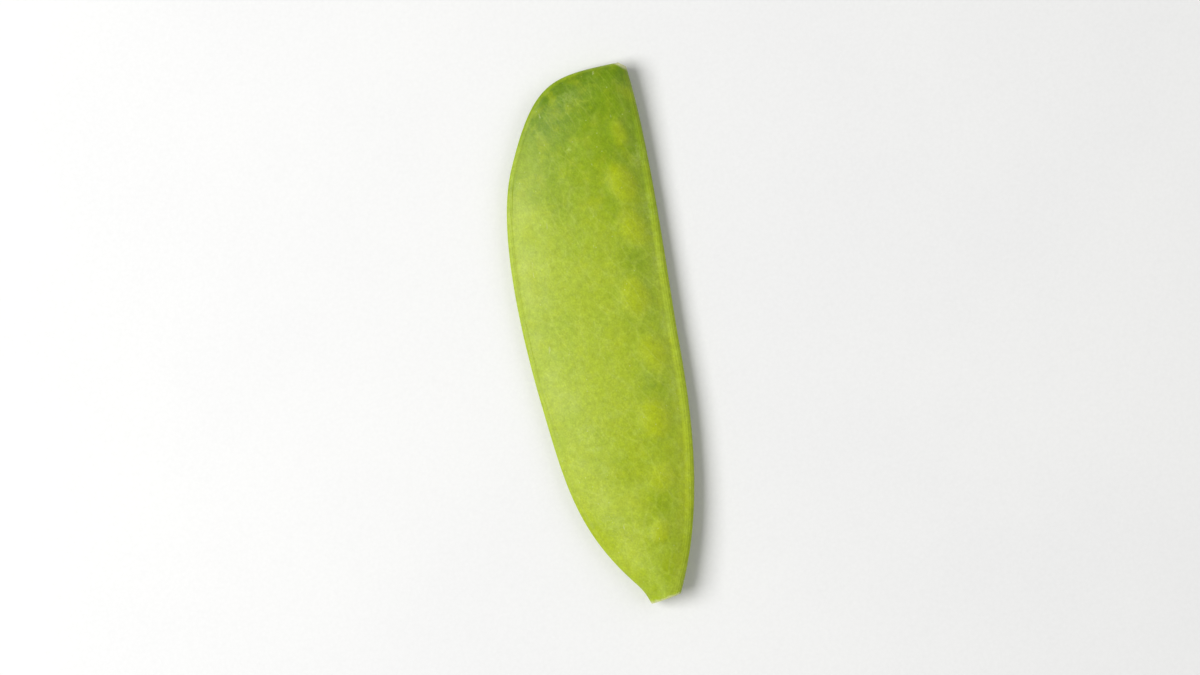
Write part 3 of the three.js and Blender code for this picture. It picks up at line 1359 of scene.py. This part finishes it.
@dataclass(frozen=True)
class Wear:
    """The wax bloom, partly painted sheen, rubbed away in patches, with pale rubs, painted
    reflections, hair scratches and specks.
    """

    bloom: SoftPatches = SoftPatches(size=4.2, low=0.36, high=0.68)
    bloom_along: Fade = Fade(48.0, 66.0, 1.0, 0.3)
    # Stronger by the back seam: partly wax, partly a painted sheen on the side towards the key
    # lamp.
    bloom_share: Fade = Fade(2.0, 14.0, 0.13, 0.06)
    rub_spot: float = 0.5
    rub_raggedness: Fade = Fade(0.36, 0.6)
    rub_share: float = 0.6
    scuff: Colour = (0.62, 0.66, 0.34)
    scratches: SoftPatches = SoftPatches(size=0.55, low=0.71, high=0.75)
    scratch_stretch: tuple[float, float, float] = (0.22, 1.0, 1.0)
    scratch_share: float = 0.3
    speck_spacing: float = 1.5
    specks: Fade = Fade(0.03, 0.08, 0.3, 0.0)

    def over(self, bench: NodeBench, place: Socket, colour: Socket) -> tuple[Socket, Socket]:
        """Adds the bloom, with its painted sheen, and the wear, with painted reflections.

        Args:
            bench: The material's bench.
            place: The place, in millimetres.
            colour: The colour so far.

        Returns:
            The colour with them, and the bloom as a mask.
        """
        bloom = self.bloom.mask(bench, place)
        bloom = bench.times(bloom, bench.fade(bench.fact("along_mm"), self.bloom_along))
        # Bloom tinted more strongly by the back seam: wax, and a painted sheen on the side towards
        # the key lamp.
        share = bench.fade(bench.fact("from_back_seam_mm"), self.bloom_share)
        colour = bench.tint(colour, WAX_AND_SHEEN, bloom, share)
        # Pale rubs, and painted reflections of the light between the seeds along the seed seam.
        ragged = bench.noise(place, self.rub_spot, detail=4.0, roughness=0.65)
        rubs = bench.times(bench.fact("rub_and_glint"), bench.fade(ragged, self.rub_raggedness))
        colour = bench.tint(colour, WAX_AND_SHEEN, rubs, self.rub_share)
        streaked = bench.vector("MULTIPLY", place, self.scratch_stretch)
        scratches = self.scratches.mask(bench, streaked)
        colour = bench.tint(colour, self.scuff, scratches, self.scratch_share)
        specks = bench.fade(bench.cells(place, self.speck_spacing), self.specks)
        return bench.blend(specks, colour, self.scuff), bloom


@dataclass(frozen=True)
class PodSkin(Finish):
    """Fresh waxy skin: the green walls, with all that shows in them and on them."""

    name: str = "Pod skin"
    walls: WallGreen = WallGreen()
    mottling: Mottling = Mottling()
    seeds: SeedGlow = SeedGlow()
    veins: Veins = Veins()
    seams: SeamEdges = SeamEdges()
    wear: Wear = Wear()
    grain: FineGrain = FineGrain(size=0.26, contrast=0.37)
    freckles: FineGrain = FineGrain(size=0.8, contrast=0.3)
    roughness: Fade = Fade(0.0, 1.0, 0.40, 0.56)
    specular: float = 0.2
    subsurface: float = 0.12
    subsurface_scale: float = 0.8 * MM
    subsurface_radius: tuple[float, float, float] = (1.0, 1.2, 0.25)
    bump_mm: float = 0.022

    def material(self) -> bpy.types.Material:
        """Makes the finish.

        Returns:
            The material.
        """
        material, bench, shader = self._open()
        place = bench.place_mm()
        colour = self.mottling.over(bench, place, self.walls.colour(bench, place))
        colour = self.seeds.over(bench, colour)
        colour, veins = self.veins.over(bench, place, colour)
        colour = self.seams.over(bench, place, colour)
        colour, bloom = self.wear.over(bench, place, colour)
        grain = self.grain.use(bench, Place=place)
        freckles = self.freckles.use(bench, Place=place)
        for cells in (grain, freckles):
            colour = bench.shaded(colour, cells.outputs["Shade"])
        bench.fill(
            shader,
            Base_Color=colour,
            Roughness=bench.fade(bloom, self.roughness),
            Specular_IOR_Level=self.specular,
            Subsurface_Weight=self.subsurface,
            Subsurface_Scale=self.subsurface_scale,
            Subsurface_Radius=self.subsurface_radius,
        )
        self._bump(bench, shader, bench.plus(grain.outputs["Height"], veins), self.bump_mm)
        return material


@dataclass(frozen=True)
class CutFlesh(Finish):
    """Cut flesh, pale and moist, greener under the skin, with the ends of strands in a ring."""

    name: str = "Cut flesh"
    flesh: Colour = (0.60, 0.67, 0.27)
    under_skin: Colour = (0.30, 0.42, 0.03)
    under_skin_depth: Fade = Fade(0.05, 0.42, 1.0, 0.0)
    depth_spot: float = 0.3
    depth_stray: float = 0.16
    strand: Colour = (0.30, 0.40, 0.06)
    strand_spacing: float = 0.42
    strand_edge: Fade = Fade(0.2, 0.42, 0.75, 0.0)
    ring_outer_edge: Fade = Fade(0.25, 0.4)
    ring_inner_edge: Fade = Fade(0.55, 0.7, 1.0, 0.0)
    drying: Colour = (0.55, 0.50, 0.24)
    dry_patches: SoftPatches = SoftPatches(size=0.8, low=0.46, high=0.66)
    dry_share: float = 0.5
    grain: FineGrain = FineGrain(size=0.14, contrast=0.6)
    roughness: Fade = Fade(0.0, 1.0, 0.4, 0.65)
    specular: float = 0.45
    bump_mm: float = 0.04

    def material(self) -> bpy.types.Material:
        """Makes the finish.

        Returns:
            The material.
        """
        material, bench, shader = self._open()
        place, inside = bench.place_mm(), bench.fact("inside_mm")
        stray = bench.math("SUBTRACT", bench.noise(place, self.depth_spot), bench.NOISE_MEAN)
        depth = bench.plus(inside, bench.times(stray, self.depth_stray))
        green = bench.fade(depth, self.under_skin_depth)
        colour = bench.blend(green, self.flesh, self.under_skin)
        outer = bench.fade(inside, self.ring_outer_edge)
        ring = bench.times(outer, bench.fade(inside, self.ring_inner_edge))
        strands = bench.fade(bench.cells(place, self.strand_spacing), self.strand_edge)
        colour = bench.tint(colour, self.strand, strands, ring)
        dried = self.dry_patches.mask(bench, place)
        colour = bench.tint(colour, self.drying, dried, self.dry_share)
        grain = self.grain.use(bench, Place=place)
        bench.fill(
            shader,
            Base_Color=bench.shaded(colour, grain.outputs["Shade"]),
            Roughness=bench.fade(dried, self.roughness),
            Specular_IOR_Level=self.specular,
        )
        self._bump(bench, shader, grain.outputs["Height"], self.bump_mm)
        return material


@dataclass(frozen=True)
class MattTable(Finish):
    """A plain pale table top, matt, with the faintest grain."""

    name: str = "Matt table"
    colour: Colour = (0.85, 0.85, 0.84)
    patch: Colour = (0.83, 0.83, 0.825)
    patches: SoftPatches = SoftPatches(size=60.0, low=0.35, high=0.65)
    grain: FineGrain = FineGrain(size=0.5, contrast=0.05)
    roughness: float = 0.75
    bump_mm: float = 0.01

    def material(self) -> bpy.types.Material:
        """Makes the finish.

        Returns:
            The material.
        """
        material, bench, shader = self._open()
        place = bench.place_mm()
        grain = self.grain.use(bench, Place=place)
        colour = bench.blend(self.patches.mask(bench, place), self.colour, self.patch)
        colour = bench.shaded(colour, grain.outputs["Shade"])
        bench.fill(shader, Base_Color=colour, Roughness=self.roughness)
        self._bump(bench, shader, grain.outputs["Height"], self.bump_mm)
        return material


@dataclass(frozen=True)
class SoftLamp:
    """A square studio lamp that faces the pod."""

    name: str
    azimuth: float
    elevation: float
    distance: float
    size: float
    watts: float

    def build(self) -> bpy.types.Object:
        """Hangs the lamp.

        Returns:
            The lamp's object.
        """
        turn, rise = math.radians(self.azimuth), math.radians(self.elevation)
        level = math.cos(rise)
        away = Vector((math.cos(turn) * level, math.sin(turn) * level, math.sin(rise)))
        light = bpy.data.lights.new(self.name, "AREA")
        light.shape = "SQUARE"
        light.size = self.size
        light.energy = self.watts
        lamp = bpy.data.objects.new(self.name, light)
        lamp.location = away * self.distance
        lamp.rotation_euler = away.to_track_quat("Z", "Y").to_euler()
        bpy.context.scene.collection.objects.link(lamp)
        return lamp


@dataclass
class Studio:
    """The pale table, the soft lamps, and the camera, which looks down as the photograph does."""

    table_half_side: float = 3.0
    sky: Colour = (1.0, 1.0, 1.0)
    sky_strength: float = 0.26
    lean: float = 7.0
    camera_height: float = 0.5
    camera_near: float = 0.01
    pod_share_of_frame: float = 0.83
    sensor_width: float = 36.0
    lamps: tuple[SoftLamp, ...] = (
        SoftLamp("key_lamp", azimuth=86.0, elevation=51.0, distance=0.75, size=0.45, watts=5.6),
        SoftLamp("fill_lamp", azimuth=-80.0, elevation=45.0, distance=0.9, size=0.7, watts=1.7),
    )

    def table(self) -> bpy.types.Object:
        """Lays the table under the pod.

        Returns:
            The table's object.
        """
        half = self.table_half_side
        mesh = bpy.data.meshes.new("table")
        corners = [(-half, -half, 0.0), (half, -half, 0.0), (half, half, 0.0), (-half, half, 0.0)]
        mesh.from_pydata(corners, [], [(0, 1, 2, 3)])
        mesh.materials.append(MattTable().material())
        table = bpy.data.objects.new("table", mesh)
        bpy.context.scene.collection.objects.link(table)
        return table

    def light(self) -> None:
        """Lights the room softly from all round and hangs the lamps."""
        world = bpy.data.worlds.new("soft_room")
        world.use_nodes = True
        background = world.node_tree.nodes["Background"]
        background.inputs["Color"].default_value = (*self.sky, 1.0)
        background.inputs["Strength"].default_value = self.sky_strength
        bpy.context.scene.world = world
        for lamp in self.lamps:
            lamp.build()

    def camera(self) -> bpy.types.Object:
        """Sets the camera straight above, so that the pod stands nearly upright in the picture.

        Returns:
            The camera's object.
        """
        low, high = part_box("pod")
        centre = (Vector(low) + Vector(high)) / 2.0
        size = Vector(high) - Vector(low)
        lean = math.radians(self.lean)
        upright = size.x * math.cos(lean) + size.y * math.sin(lean)
        frame_width = upright / self.pod_share_of_frame * PHOTO_SIZE[0] / PHOTO_SIZE[1]
        right = Vector((-math.sin(lean), -math.cos(lean), 0.0))
        up = Vector((math.cos(lean), -math.sin(lean), 0.0))
        turn = Matrix((right, up, right.cross(up))).transposed()
        data = bpy.data.cameras.new("camera")
        data.sensor_width = self.sensor_width
        data.lens = self.sensor_width * (self.camera_height - size.z) / frame_width
        data.clip_start = self.camera_near
        camera = bpy.data.objects.new("camera", data)
        place = Matrix.Translation((centre.x, centre.y, self.camera_height))
        camera.matrix_world = place @ turn.to_4x4()
        bpy.context.scene.collection.objects.link(camera)
        bpy.context.scene.camera = camera
        return camera

    def build(self) -> None:
        """Sets the whole studio up."""
        self.camera()
        self.table()
        self.light()
        bpy.context.scene.view_settings.view_transform = "Standard"


def main() -> None:
    """Builds the studio and the pod in order."""
    logging.basicConfig(level=logging.INFO, format="%(name)s: %(message)s")
    Studio().build()
    LOG.info("studio: table, lamps and camera")
    Pod().build(PodSkin().material(), CutFlesh().material())


if __name__ == "__main__":
    main()
